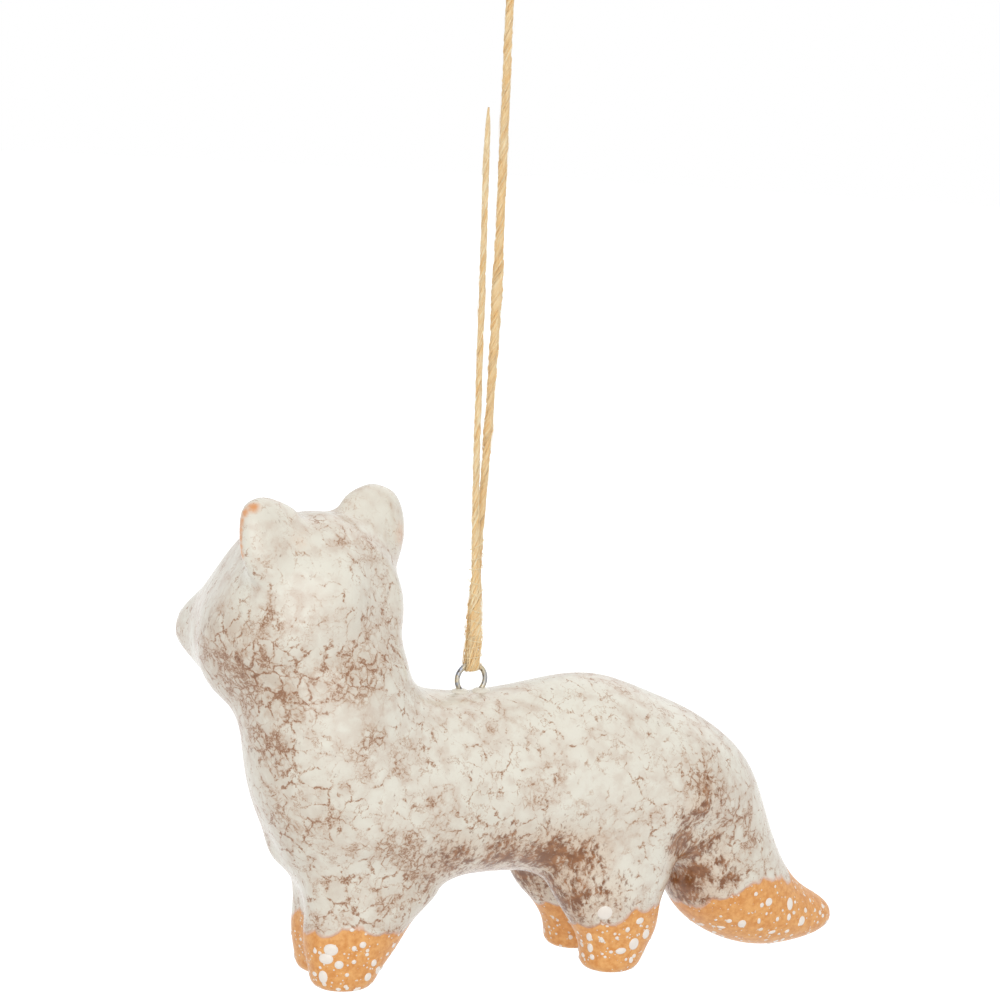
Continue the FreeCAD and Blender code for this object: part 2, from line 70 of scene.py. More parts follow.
lens.clip_start = 0.01
camera = bpy.data.objects.new("camera", lens)
camera_turn = Matrix((rightward, upward, away)).transposed().to_4x4()
camera.matrix_world = Matrix.Translation(camera_place) @ camera_turn
bpy.context.scene.collection.objects.link(camera)
bpy.context.scene.camera = camera
bpy.context.scene.view_settings.view_transform = "Standard"


# The long strand is one single-ply yarn of loosely twisted straw-coloured fibres, with fine hairs round it.
# It comes up out of the wire eye, thickens in a slub, and is held by the knot.
YARN = 0.95 * MM
FIBRE_SIDES = 4
FIBRE_STEP = 0.45 * MM
OUTER_BUNDLES, INNER_BUNDLES, LOOSE_BUNDLES = 13, 5, 16
OUTER_REACH, INNER_REACH = 0.32, 0.17
HAIR_POINTS = 9
HAIR_RADIUS = 0.022 * MM
LONG_ROUTE = [
    (0, 0.62, -100.6),
    (0.15, 0.60, -94),
    (0.30, 0.45, -86),
    (0.50, 0.20, -76),
    (0.62, 0, -60),
    (0.34, 0, -40),
    (0.05, 0, -21.4),
]


def smooth_line(route, closed=False):
    """The points of the smooth line that a route in millimetres controls."""
    curve = bpy.data.curves.new("route", "CURVE")
    curve.dimensions = "3D"
    curve.resolution_u = 24
    spline = curve.splines.new("NURBS")
    spline.points.add(len(route) - 1)
    for point, place in zip(spline.points, route):
        point.co = (*(Vector(place) * MM), 1)
    spline.order_u = 3
    spline.use_endpoint_u = not closed
    spline.use_cyclic_u = closed
    holder = bpy.data.objects.new("route", curve)
    mesh = bpy.data.meshes.new_from_object(holder)
    points = [vertex.co.copy() for vertex in mesh.vertices]
    bpy.data.objects.remove(holder)
    bpy.data.curves.remove(curve)
    bpy.data.meshes.remove(mesh)
    return points + points[:1] if closed else points


class Line:
    """A line with places and cross directions along it, by distance from its start."""

    def __init__(self, points, across):
        self.points = points
        self.marks = [0.0]
        for before, after in zip(points, points[1:]):
            self.marks.append(self.marks[-1] + (after - before).length)
        self.length = self.marks[-1]
        self.across = Vector(across)

    def at(self, distance):
        """The place at a distance, with the two directions across the line there."""
        distance = min(max(distance, 0), self.length)
        n = int(np.clip(np.searchsorted(self.marks, distance) - 1, 0, len(self.points) - 2))
        step = self.marks[n + 1] - self.marks[n]
        share = (distance - self.marks[n]) / step if step else 0
        run = (self.points[n + 1] - self.points[n]).normalized()
        side = (self.across - run * self.across.dot(run)).normalized()
        return self.points[n].lerp(self.points[n + 1], share), side, run.cross(side)


def spun_mesh(name, fibres):
    """A mesh of fibres, each a list of (place, radius, shade), with the shade kept for the material."""
    curve = bpy.data.curves.new(name, "CURVE")
    curve.dimensions = "3D"
    curve.bevel_depth = 1
    curve.bevel_resolution = 0
    curve.use_fill_caps = True
    # The mesh has the corners of the end caps first, from the last fibre to the first, and then the sides.
    shades = [fibre[0][2] for fibre in reversed(fibres) for corner in range(2 * FIBRE_SIDES)]
    for fibre in fibres:
        spline = curve.splines.new("POLY")
        spline.points.add(len(fibre) - 1)
        for point, (place, radius, shade) in zip(spline.points, fibre):
            point.co = (*place, 1)
            point.radius = radius
        shades += [fibre[0][2]] * (FIBRE_SIDES * len(fibre))
    holder = bpy.data.objects.new(name, curve)
    mesh = bpy.data.meshes.new_from_object(holder)
    bpy.data.objects.remove(holder)
    bpy.data.curves.remove(curve)
    mesh.name = name
    mesh.attributes.new("shade", "FLOAT", "POINT").data.foreach_set("value", shades)
    joined = bmesh.new()
    joined.from_mesh(mesh)
    bmesh.ops.remove_doubles(joined, verts=joined.verts, dist=0.0001 * MM)
    joined.to_mesh(mesh)
    joined.free()
    mesh.shade_smooth()
    mesh.materials.clear()
    return mesh


def fibres_along(line, girth, seed, flat=None, turn=5.5 * MM, hairs=4.0):
    """Twisted fibre bundles along a line, with loose hairs.

    girth gives the width at each share of the line's length, and flat how much wider and thinner than
    round the yarn is there. turn is the length of one twist, and hairs their number to a millimetre.
    """
    chance = random.Random(seed)
    fibres = []
    steps = max(24, int(line.length / FIBRE_STEP))
    bundles = [(0.0, 0.0, 0.30)]
    for n in range(OUTER_BUNDLES):
        start = 2 * math.pi * n / OUTER_BUNDLES + chance.uniform(-0.1, 0.1)
        bundles.append((OUTER_REACH, start, chance.uniform(0.15, 0.19)))
    for n in range(INNER_BUNDLES):
        bundles.append((INNER_REACH, 2 * math.pi * n / INNER_BUNDLES, 0.17))
    for n in range(LOOSE_BUNDLES):
        reach, start = chance.uniform(0.36, 0.48), chance.uniform(0, 6.28)
        bundles.append((reach, start, chance.uniform(0.035, 0.07)))
    for reach, start, size in bundles:
        wander = chance.uniform(0, 6.28)
        pitch = turn * (chance.uniform(0.94, 1.06) if reach <= OUTER_REACH else chance.uniform(0.7, 1.4))
        shade = chance.random()
        fibre = []
        for n in range(steps + 1):
            share = n / steps
            place, side, other = line.at(share * line.length)
            width = girth(share)
            wide, thin = flat(share) if flat else (1.0, 1.0)
            angle = start + 2 * math.pi * share * line.length / pitch
            loose = reach * (1 + 0.10 * math.sin(wander + 40 * share))
            offset = side * (math.cos(angle) * wide) + other * (math.sin(angle) * thin)
            radius = size * width * min(1.0, (thin + 1) / 2)
            fibre.append((place + offset * loose * width, radius, shade))
        fibres.append(fibre)
    for n in range(int(hairs * line.length / MM)):
        fibres.append(hair(line, girth, flat, chance))
    return fibres


def hair(line, girth, flat, chance):
    """One loose hair that lies along the yarn and lifts off it."""
    start = chance.uniform(-0.02, 0.98) * line.length
    reach = chance.uniform(1.5, 6) * MM * chance.choice((1, -1))
    angle, turn = chance.uniform(0, 6.28), chance.uniform(-2.5, 3.5)
    lift = chance.uniform(0.02, 0.5) ** 1.5
    shade = chance.random()
    strand = []
    for n in range(HAIR_POINTS):
        share = n / (HAIR_POINTS - 1)
        distance = start + reach * share
        place, side, other = line.at(distance)
        along = min(max(distance / line.length, 0), 1)
        wide, thin = flat(along) if flat else (1.0, 1.0)
        swing = angle + turn * share
        out = girth(along) * (0.44 + lift * share * (1.4 - 0.5 * share))
        offset = side * (math.cos(swing) * wide) + other * (math.sin(swing) * thin)
        strand.append((place + offset * out, HAIR_RADIUS * (1.2 - share), 0.5 + 0.5 * shade))
    return strand


def between(stops):
    """A function that runs straight from each (share, value) stop to the next."""
    shares, values = zip(*stops)
    return lambda share: float(np.interp(share, shares, values))


def yarn_piece(name, mesh, body, *nodes):
    """A yarn piece in the scene, in place of its nodes."""
    piece = bpy.data.objects.new(name, mesh)
    bpy.context.scene.collection.objects.link(piece)
    mesh.materials.append(yarn_material)
    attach(piece, body)
    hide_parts(*nodes)
    return piece


def node(tree, kind, inputs=None, **settings):
    """Adds a shader node with its settings, and sets or joins its inputs."""
    made = tree.nodes.new("ShaderNode" + kind)
    for name, value in settings.items():
        setattr(made, name, value)
    for key, value in (inputs or {}).items():
        if isinstance(value, bpy.types.NodeSocket):
            tree.links.new(value, made.inputs[key])
        else:
            made.inputs[key].default_value = value
    return made


def sums(tree, operation, *values, clamp=False):
    """The output of a Math node."""
    made = node(tree, "Math", dict(enumerate(values)), operation=operation, use_clamp=clamp)
    return made.outputs[0]


def ramp(tree, value, low, high, start=0.0, end=1.0, smooth=True):
    """A value carried from low..high to start..end, with soft ends or in a straight line."""
    kind = "SMOOTHSTEP" if smooth else "LINEAR"
    inputs = {"Value": value, "From Min": low, "From Max": high, "To Min": start, "To Max": end}
    return node(tree, "MapRange", inputs, interpolation_type=kind).outputs["Result"]


def mixed(tree, share, first, second):
    """Two colours mixed by a share."""
    made = node(tree, "Mix", data_type="RGBA")
    for place, value in ((0, share), (6, first), (7, second)):
        if isinstance(value, bpy.types.NodeSocket):
            tree.links.new(value, made.inputs[place])
        else:
            made.inputs[place].default_value = value
    return made.outputs[2]


def colour(red, green, blue):
    """A colour of 0 to 255 a channel, as the shader takes it."""
    parts = [channel / 255 for channel in (red, green, blue)]
    return (*(part / 12.92 if part <= 0.04045 else ((part + 0.055) / 1.055) ** 2.4 for part in parts), 1)


def new_material(name):
    """A node material, with its tree, its shader and object coordinates in millimetres."""
    material = bpy.data.materials.new(name)
    material.use_nodes = True
    tree = material.node_tree
    shader = tree.nodes["Principled BSDF"]
    place = node(tree, "TexCoord").outputs["Object"]
    scaled = node(tree, "VectorMath", {0: place, "Scale": 1000}, operation="SCALE")
    return material, tree, shader, scaled.outputs[0]


yarn_material, tree, shader, spot = new_material("straw_yarn")
shade = node(tree, "Attribute", attribute_name="shade").outputs["Fac"]
stretched = node(tree, "Mapping", {"Vector": spot, "Scale": (6, 6, 0.9)}).outputs[0]
streak = node(tree, "TexNoise", {"Vector": stretched, "Scale": 1.0, "Detail": 3.0}).outputs["Fac"]
patch = node(tree, "TexNoise", {"Vector": spot, "Scale": 0.22, "Detail": 1.0}).outputs["Fac"]
straw = mixed(tree, shade, colour(244, 202, 136), colour(255, 242, 206))
straw = mixed(tree, ramp(tree, streak, 0.35, 0.62, 0.5, 0.0), straw, colour(236, 192, 124))
straw = mixed(tree, ramp(tree, patch, 0.45, 0.7, 0.0, 0.3), straw, colour(255, 243, 210))
tree.links.new(straw, shader.inputs["Base Color"])
bump = node(tree, "Bump", {"Height": streak, "Strength": 0.5, "Distance": 0.05 * MM})
tree.links.new(bump.outputs[0], shader.inputs["Normal"])
shader.inputs["Roughness"].default_value = 0.8
shader.inputs["Sheen Weight"].default_value = 0.25
shader.inputs["Sheen Roughness"].default_value = 0.5

long_line = Line(smooth_line(LONG_ROUTE), (1, 0, 0))
long_girth = between(
    [(0, 0.95), (0.3, 1.0), (0.33, 1.25), (0.36, 1.0), (0.48, 1.2), (0.55, 1.5), (0.62, 1.15), (1, 1.05)]
)
long_flat = between([(0, 2.35), (0.04, 2.2), (0.11, 1.3), (0.2, 1.05), (1, 1.0)])
long_yarn = yarn_piece(
    "long_yarn",
    spun_mesh(
        "long_yarn",
        fibres_along(
            long_line,
            lambda share: long_girth(share) * YARN,
            seed=3,
            flat=lambda share: (long_flat(share), 1 / long_flat(share)),
        ),
    ),
    "cord",
    "long_strand",
)


# The short strand is the yarn's other end, beside the long one. It comes from the front of the eye,
# is a little thinner where it has untwisted, and ends in a tapered cut.
SHORT_ROUTE = [
    (0, -0.62, -100.6),
    (-0.25, -0.60, -95),
    (-0.80, -0.55, -87.4),
    (-1.20, -0.50, -78),
    (-1.50, -0.38, -65),
    (-1.72, -0.30, -51),
    (-2.08, -0.20, -40.5),
    (-2.08, -0.20, -34.5),
]
short_line = Line(smooth_line(SHORT_ROUTE), (1, 0, 0))
short_girth = between([(0, 0.95), (0.3, 0.85), (0.5, 0.82), (0.93, 0.8), (0.97, 0.6), (1, 0.22)])
short_flat = between([(0, 2.35), (0.05, 2.15), (0.13, 1.35), (0.3, 1.1), (0.4, 1.0), (1, 1.0)])
short_yarn = yarn_piece(
    "short_yarn",
    spun_mesh(
        "short_yarn",
        fibres_along(
            short_line,
            lambda share: short_girth(share) * YARN,
            seed=8,
            flat=lambda share: (short_flat(share), 1 / short_flat(share)),
        ),
    ),
    "cord",
    "short_strand",
)


# Between the two strands the yarn goes under the top of the wire eye, pressed flat by the fox's weight.
# Stray hairs cross the two strands above the wire and hold them together.
CROSSING_HAIRS = 12
CROSSING_POINTS = 17
BIGHT_ROUTE = [
    (0, 0.62, -100.4),
    (0, 0.62, -102.4),
    (0, 0.64, -104.2),
    (0, 0.42, -104.75),
    (0, 0, -104.86),
    (0, -0.42, -104.75),
    (0, -0.64, -104.2),
    (0, -0.62, -102.4),
    (0, -0.62, -100.4),
]
bight_line = Line(smooth_line(BIGHT_ROUTE), (1, 0, 0))
bight_fibres = fibres_along(
    bight_line, lambda share: 0.95 * YARN, seed=5, flat=lambda share: (2.35, 0.5), turn=13 * MM, hairs=5.0
)
chance = random.Random(11)
for n in range(CROSSING_HAIRS):
    height, climb = -103.2 + 1.25 * n, chance.uniform(-1.4, 2.8)
    start, sweep, reach = chance.uniform(2.6, 4.0), chance.uniform(2.0, 3.6), 1.16 - 0.028 * n
    crossing = []
    for step in range(CROSSING_POINTS):
        share = step / (CROSSING_POINTS - 1)
        angle = start + sweep * share
        x, y = -0.03 * n + reach * math.cos(angle), 1.08 * math.sin(angle)
        crossing.append((Vector((x, y, height + climb * share)) * MM, 0.05 * MM, 1.0))
    bight_fibres.append(crossing)
bight_yarn = yarn_piece("bight_yarn", spun_mesh("bight_yarn", bight_fibres), "cord", "cord_bight")


# The knot is an overhand knot in the same yarn, pulled tight under the loop. It gathers the loop's two
# ends above the long strand.
KNOT_HEIGHT = -19.9
KNOT_SIZE, KNOT_DEPTH = 0.44, 0.42
KNOT_POINTS = 18
knot_route = [
    (
        KNOT_SIZE * (math.sin(turn) + 2 * math.sin(2 * turn)),
        -KNOT_DEPTH * math.sin(3 * turn),
        KNOT_HEIGHT + KNOT_SIZE * (math.cos(turn) - 2 * math.cos(2 * turn)),
    )
    for turn in (2 * math.pi * n / KNOT_POINTS for n in range(KNOT_POINTS))
]
knot_line = Line(smooth_line(knot_route, closed=True), (0.2, 1, 0.1))
knot_yarn = yarn_piece(
    "knot_yarn",
    spun_mesh("knot_yarn", fibres_along(knot_line, lambda share: 0.92 * YARN, seed=12, hairs=2.0)),
    "knot",
    "cord_knot",
)


# The loop is the same yarn again. It goes from the knot over a hook or a twig and back to the knot,
# and the whole ornament hangs by its inner top.
LOOP_ROUTE = [
    (0.575, 0, -19.2),
    (1.25, 0, -14),
    (2.3, 0, -8),
    (3.02, 0, -4.4),
    (3.08, 0, -1.7),
    (1.78, 0, 0.42),
    (0, 0, 0.72),
    (-1.78, 0, 0.42),
    (-3.08, 0, -1.7),
    (-3.02, 0, -4.4),
    (-2.3, 0, -8),
    (-1.25, 0, -14),
    (-0.575, 0, -19.2),
]
loop_line = Line(smooth_line(LOOP_ROUTE), (0, 1, 0))
loop_yarn = yarn_piece(
    "loop_yarn",
    spun_mesh("loop_yarn", fibres_along(loop_line, lambda share: YARN, seed=21)),
    "loop",
    "hanging_loop",
)


# The fox is one hollow piece of terracotta clay, pinched and smoothed into shape and dipped in a thick
# cream glaze that has broken into cells with brown veins. The feet and the tail's tip were kept bare.
VOXEL = 0.46 * MM
VENT = (1.0, 0, -129.4)
VENT_REACH = 2.4
FILL_TURNS = 217
shape = bmesh.new()
shape.from_mesh(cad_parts["fox_body"].data)
bmesh.ops.remove_doubles(shape, verts=shape.verts, dist=0.002 * MM)
body_mesh = bpy.data.meshes.new("glazed_fox")
shape.to_mesh(body_mesh)
shape.free()
fox = bpy.data.objects.new("glazed_fox", body_mesh)
bpy.context.scene.collection.objects.link(fox)
remesh = fox.modifiers.new("voxels", "REMESH")
remesh.mode = "VOXEL"
remesh.voxel_size = VOXEL
bpy.context.view_layer.update()
even = bpy.data.meshes.new_from_object(fox.evaluated_get(bpy.context.evaluated_depsgraph_get()))
fox.modifiers.remove(remesh)
fox.data = even
even.name = "glazed_fox"
even.materials.clear()

places = np.empty(len(even.vertices) * 3)
even.vertices.foreach_get("co", places)
places = places.reshape(-1, 3) / MM
edges = np.empty(len(even.edges) * 2, dtype=int)
even.edges.foreach_get("vertices", edges)
edges = edges.reshape(-1, 2)
count = np.bincount(edges.ravel(), minlength=len(places)).clip(1)


def neighbours_mean(values):
    """The mean of each vertex's neighbours."""
    columns = values.reshape(len(values), -1).T
    total = np.stack(
        [
            np.bincount(edges[:, 0], column[edges[:, 1]], len(places))
            + np.bincount(edges[:, 1], column[edges[:, 0]], len(places))
            for column in columns
        ],
        axis=-1,
    )
    return (total / count[:, None]).reshape(values.shape)


def surface_normals():
    """The vertex normals of the mesh with its present places."""
    even.vertices.foreach_set("co", (places * MM).ravel())
    even.update()
    normals = np.empty(len(places) * 3, dtype=np.float32)
    even.vertex_normals.foreach_get("vector", normals)
    return normals.reshape(-1, 3).astype(float)


def nearness(centre, reach):
    """1 at a centre in millimetres, falling smoothly to 0 at its reach."""
    share = np.clip(1 - np.linalg.norm(places - np.array(centre), axis=1) / reach, 0, 1)
    return share ** 2 * (3 - 2 * share)


def outer_vertices():
    """True for the vertices of the outer skin, which the top leads to without going into the vent."""
    clear_of_vent = np.linalg.norm(places - np.array(VENT), axis=1) > VENT_REACH
    reached = np.zeros(len(places), dtype=bool)
    reached[np.argmax(places[:, 2])] = True
    while True:
        wider = reached.copy()
        wider[edges[reached[edges[:, 0]], 1]] = True
        wider[edges[reached[edges[:, 1]], 0]] = True
        wider &= clear_of_vent
        if (wider == reached).all():
            return reached
        reached = wider


def fill_hollows(where, turns):
    """Rounds off the inside corners of the outer skin, as wet clay is smoothed, and leaves the ridges."""
    global places
    for turn in range(turns):
        if turn % 20 == 0:
            lean = surface_normals()
        pull = neighbours_mean(places) - places
        rise = (pull * lean).sum(axis=1)
        places += lean * (0.5 * where * rise.clip(0, None))[:, None]
        if turn % 10 == 0:
            places += 0.5 * outside[:, None] * (pull - lean * rise[:, None])


# The crease between the hind legs and the tail is filled only a little, and the tops of the legs twice.
CREASE_SPOTS = [((28, -4, -135), 7), ((28, 4, -135), 7), ((27.5, -8, -128), 6), ((27.5, 8, -128), 6)]
LEG_TOP_SPOTS = [((-6, -6, -129), 10), ((-6, 6, -129), 10), ((-23, -4, -126), 10), ((-23, 4, -126), 10)]
outside = outer_vertices()
crease = sum(nearness(centre, reach) for centre, reach in CREASE_SPOTS)
fill_hollows(outside * (1 - 0.8 * crease.clip(0, 1)), FILL_TURNS)
leg_tops = sum(nearness(centre, reach) for centre, reach in LEG_TOP_SPOTS)
fill_hollows(outside * leg_tops.clip(0, 1), FILL_TURNS)

# Fingers have pressed the wet clay here and there: each row is a place, a reach and a push in millimetres.
PRESSES = [
    (-30.8, -3.0, -82.0, 5.5, -0.60, 0.25, 0.05), (-27.4, -3.0, -82.8, 4.5, 0, 0, -0.45),
    (-11.5, 3.6, -83.5, 8.0, 0.62, -0.38, 0), (-16.2, 3.0, -83.6, 4.0, -0.20, 0.10, 0.30),
    (-32.2, 7.0, -92.3, 9.5, 0.95, -0.20, -0.50), (-33.2, 0.5, -104.2, 7.0, 0.36, 0, 0.38),
    (-28.2, 0, -124.0, 7.0, 0.42, 0, 0.20), (-24.0, 3.2, -128.0, 4.5, -0.65, 0.10, 0),
    (-22.3, 6.0, -135.0, 8.0, 0.42, 0, 0), (-7.8, -7.4, -130.4, 7.0, -0.36, 0.20, 0.15),
    (1.5, -4.5, -130, 13.0, 0, 0, 0.22), (11.8, 5.0, -132.5, 9.0, -0.95, 0, 0),
    (24.0, -8.0, -140.0, 8.0, 0.50, -0.20, 0), (24.8, -7.0, -134.5, 4.5, -0.50, 0.20, 0),
    (-20.8, -8.0, -141.0, 6.0, -0.60, 0.10, 0), (-27.4, 1.0, -126.5, 4.5, 0.40, 0, 0),
    (-24.5, 4.5, -131.8, 4.5, -0.55, 0.10, 0), (12.4, 4.2, -134.0, 4.0, -0.35, 0, 0),
    (11.0, 6.0, -140.0, 4.5, 0.35, 0, 0), (28.2, -9.6, -125.5, 4.5, -0.30, 1.20, 0.20),
]
for x, y, z, reach, *push in PRESSES:
    places += nearness((x, y, z), reach)[:, None] * np.array(push)
normals = surface_normals()

# The height of the glaze's lower edge at some places from the fox's front to its tail, in millimetres.
EDGE_TABLE = [
    (-25, -136.6), (-20, -135.9), (-10, -136.2), (8, -138.8), (12, -138.9), (14.5, -137.6), (18.5, -135.5),
    (24, -134.6), (28, -137.4), (33, -136.7), (36.3, -135.8), (37.6, -133.9), (40, -133.0), (48, -134.3),
    (56, -135),
]

# Zones of the glaze: each row is a place, a reach in millimetres and a strength. Brown ones are where it has
# run thin, and under the chin, under the belly and in the crease between hind leg and tail they are also
# painted shade. Veined ones have more veins and a darker, greyer cream that is painted shade, calm ones
# fewer veins, and in rubbed ones the clay shows through.
ZONE_FADE = 1.6
BROWN_SPOTS = [
    (-31, -3.5, -103, 5, 0.30), (-28.5, -6, -106, 4.5, 0.30), (-33, -2.3, -98.3, 3, 0.36),
    (-28.5, -6, -110.5, 4, 0.26), (-10, -9.5, -126.5, 4.5, 0.35), (-4.8, -9.2, -126.9, 5, 0.72),
    (2, -9, -127, 5, 0.88), (8, -8.5, -127, 5.2, 1.0), (12, -9.5, -127.8, 4.8, 0.84),
    (12, -6, -133, 6, 0.95), (15.5, -10, -132.5, 4.5, 0.6), (19, -10, -130, 3.5, 0.25),
    (28.9, -10.2, -119.6, 2.4, 0.60), (28.2, -10.2, -121.8, 2.8, 0.80), (27.2, -10.0, -124.2, 2.6, 0.90),
    (27.0, -9.2, -126.8, 3.0, 1.15), (28.6, -7.5, -129.5, 3.4, 1.25), (27.6, -5.5, -132.5, 4.0, 1.15),
    (30.9, -5.5, -131.5, 3.2, 1.1), (30.9, -4.3, -134.4, 3.2, 0.95), (31.5, -8.4, -127.2, 2.8, 0.66),
    (33.2, -7.0, -130.0, 3.0, 0.62), (34.6, -7.2, -132.6, 2.8, 0.68), (30.5, -9.8, -122.9, 2.2, 0.50),
    (33.5, -5, -135, 3.6, 0.8), (30, -3, -134, 5, 0.95), (0, 0, -130, 9, 1.1), (9, 0, -131, 8, 1.1),
    (-9, 0, -132, 7, 0.9), (-13, -2, -136, 5, 0.7), (26, 0, -132, 6, 0.95),
]
VEIN_AND_SHADE_SPOTS = [
    (-31, -3.5, -102.5, 6, 1.0), (-28, -6, -105, 5.5, 1.0), (-25.5, -8.3, -103.5, 4.5, 0.9),
    (-21.5, -9.3, -101.8, 4, 0.8), (-18, -9, -101.6, 4, 0.85), (-14.5, -7, -100.5, 3.5, 0.7),
    (-33.5, -1.8, -98.5, 4, 0.8), (-28.4, -5, -111.5, 4, 0.8), (-17.6, -10.5, -109, 2.0, 0.6),
    (-27.2, -6.5, -116, 5, 0.55), (-26, -5, -122.5, 5, 0.7), (-23, -8.8, -119.5, 5, 0.65),
    (-20.5, -10, -116.5, 3, 0.4), (-19.5, -7.7, -131, 5, 0.55), (-14, -8.9, -132, 5, 0.65),
    (-9, -8.5, -129.5, 4.5, 0.8), (-13.8, -10, -125, 4.5, 0.5), (-8.5, -10.6, -122.5, 4.5, 0.42),
    (-4, -10.5, -121.5, 5, 0.42), (3, -10, -124, 5, 0.45), (13, -10.5, -125, 5, 0.5),
    (20, -10, -124, 4, 0.35), (29.5, -10, -118.5, 4, 0.6), (34.5, -8, -124.5, 4.5, 0.8),
    (38, -7, -128.5, 4, 0.7), (-12.5, 3.5, -84.5, 4.5, 0.22), (-29, -3.5, -86, 4.5, 0.25),
    (-18, -7.5, -96.5, 4, 0.45),
]
CALM_SPOTS = [
    (-29.8, -4.6, -84.5, 3.5, 0.9), (-13.6, 1.6, -84.6, 4.5, 0.8), (-20.9, -10.5, -107.8, 2.6, 0.95),
    (-17.5, -10.2, -106.9, 2.6, 0.8), (-33.4, 3.7, -94.1, 3.5, 0.8), (-26.8, -7.0, -92.1, 3.5, 0.6),
    (-22.2, -6.6, -89.3, 3.0, 0.5), (12.2, -10.5, -118.3, 4.0, 0.6), (16.9, -10.5, -125.1, 3.5, 0.7),
    (-34.5, 3.9, -97.8, 3.0, 0.8), (-6.9, -6.2, -109.4, 3.0, 0.4),
]
RUB_SPOTS = [
    (-31.8, -3.1, -82.4, 1.1, 0.75), (-32.9, -3.0, -83.2, 0.8, 0.8), (-33.5, -3.0, -84.2, 0.8, 0.85),
    (-33.7, -3.2, -85.2, 0.8, 0.9), (-33.7, -3.3, -86.2, 0.8, 0.9), (-33.6, -3.5, -87.2, 0.8, 0.85),
    (-33.4, -3.7, -88.2, 0.8, 0.75), (-26.2, -4.2, -86.6, 2.6, 0.24), (-9.5, 2.0, -87.6, 2.4, 0.34),
]


def zones(spots, both_flanks):
    """The strongest of some round zones at each vertex, with the same zones on the other flank if asked."""
    field = np.zeros(len(places))
    for x, y, z, reach, strength in spots:
        for side in (y, -y) if both_flanks else (y,):
            field = np.maximum(field, strength * nearness((x, side, z), reach * ZONE_FADE))
    return field


edge_xs, edge_zs = zip(*EDGE_TABLE)
above = places[:, 2] - np.interp(places[:, 0], edge_xs, edge_zs)
fields = {
    "above_edge": above,
    "brown": zones(BROWN_SPOTS, both_flanks=True),
    "veined_and_shaded": zones(VEIN_AND_SHADE_SPOTS, both_flanks=True),
    "calm": zones(CALM_SPOTS, both_flanks=False),
    "rubbed": zones(RUB_SPOTS, both_flanks=False),
}
for name, values in fields.items():
    even.attributes.new(name, "FLOAT", "POINT").data.foreach_set("value", values)
even.shade_smooth()

glaze, tree, shader, spot = new_material("cream_glaze")
above_edge, thin_glaze_and_shade, veined_and_shaded, calm, rubbed = (
    node(tree, "Attribute", attribute_name=name).outputs["Fac"] for name in fields
)


def noise(scale, detail=2.0, vector=None, output="Fac", roughness=0.5):
    """A noise over the fox, by its scale per millimetre."""
    inputs = {"Vector": vector or spot, "Scale": scale, "Detail": detail, "Roughness": roughness}
    return node(tree, "TexNoise", inputs).outputs[output]


def warped(vector, scale, amount, detail=2.0):
    """Coordinates pushed about by a noise, by millimetres."""
    push = noise(scale, detail, output="Color")
    push = node(tree, "VectorMath", {0: push, 1: (0.5, 0.5, 0.5)}, operation="SUBTRACT")
    push = node(tree, "VectorMath", {0: push.outputs[0], "Scale": amount}, operation="SCALE")
    return node(tree, "VectorMath", {0: vector, 1: push.outputs[0]}).outputs[0]


def cells(vector, size, feature):
    """A Voronoi pattern of cells of a size in millimetres, and its distance in millimetres."""
    inputs = {"Vector": vector, "Scale": 1 / size, "Randomness": 1.0}
    pattern = node(tree, "TexVoronoi", inputs, feature=feature)
    return pattern, sums(tree, "MULTIPLY", pattern.outputs["Distance"], size)


def speckle(vector, size, channel, largest, fade):
    """Round dots of many sizes, one to a cell, up to a largest radius in millimetres."""
    pattern, distance = cells(vector, size, "F1")
    chosen = node(tree, "SeparateColor", {0: pattern.outputs["Color"]}).outputs[channel]
    radius = ramp(tree, chosen, 0.30, 1.0, 0.0, largest, smooth=False)
    return ramp(tree, sums(tree, "SUBTRACT", distance, radius), -fade, 0.02, 1.0, 0.0)


def swung(value, amount):
    """A noise's distance from its middle, times an amount."""
    return sums(tree, "MULTIPLY", sums(tree, "SUBTRACT", value, 0.5), amount)


# Cream cells part along wandering brown veins, faint lines nearly everywhere that thicken in places.
bent = warped(warped(warped(spot, 0.26, 2.6), 0.85, 1.3), 3.2, 0.55, 3.0)
wide_edge = cells(bent, 2.5, "DISTANCE_TO_EDGE")[1]
small_edge = cells(bent, 1.15, "DISTANCE_TO_EDGE")[1]
region = noise(0.15, 2.0)
broken = sums(tree, "ADD", noise(0.8, 3.0, roughness=0.6), sums(tree, "MULTIPLY", veined_and_shaded, 0.20))
thick = ramp(tree, broken, 0.46, 0.84, 0.11, 0.46)
wide_vein = ramp(tree, sums(tree, "DIVIDE", wide_edge, thick), 0.0, 1.0, 1.0, 0.0)
wide_vein = sums(tree, "MULTIPLY", wide_vein, ramp(tree, broken, 0.40, 0.72, 0.12, 1.0))
wander = sums(tree, "ABSOLUTE", swung(noise(0.42, 5.0, roughness=0.62), 1.0))
thread = ramp(tree, wander, 0.0, 0.024, 1.0, 0.0)
thread = sums(tree, "MULTIPLY", thread, ramp(tree, noise(0.33), 0.40, 0.66, 0.15, 0.75))
wide_vein = sums(tree, "MAXIMUM", wide_vein, thread)
crowd = sums(tree, "ADD", region, swung(noise(0.5, 2.0), 0.6))
crowd = sums(tree, "ADD", crowd, sums(tree, "MULTIPLY", veined_and_shaded, 0.26))
thin = ramp(tree, crowd, 0.46, 0.80, 0.06, 0.30)
small_vein = ramp(tree, sums(tree, "DIVIDE", small_edge, thin), 0.0, 1.0, 1.0, 0.0)
small_vein = sums(tree, "MULTIPLY", small_vein, ramp(tree, crowd, 0.50, 0.78, 0.0, 0.9))
grain = sums(tree, "ADD", noise(4.5, 4.0, roughness=0.65), sums(tree, "MULTIPLY", veined_and_shaded, 0.06))
vein = sums(tree, "MAXIMUM", wide_vein, small_vein)
vein = sums(tree, "MULTIPLY", vein, ramp(tree, grain, 0.34, 0.58, 0.4, 1.0))
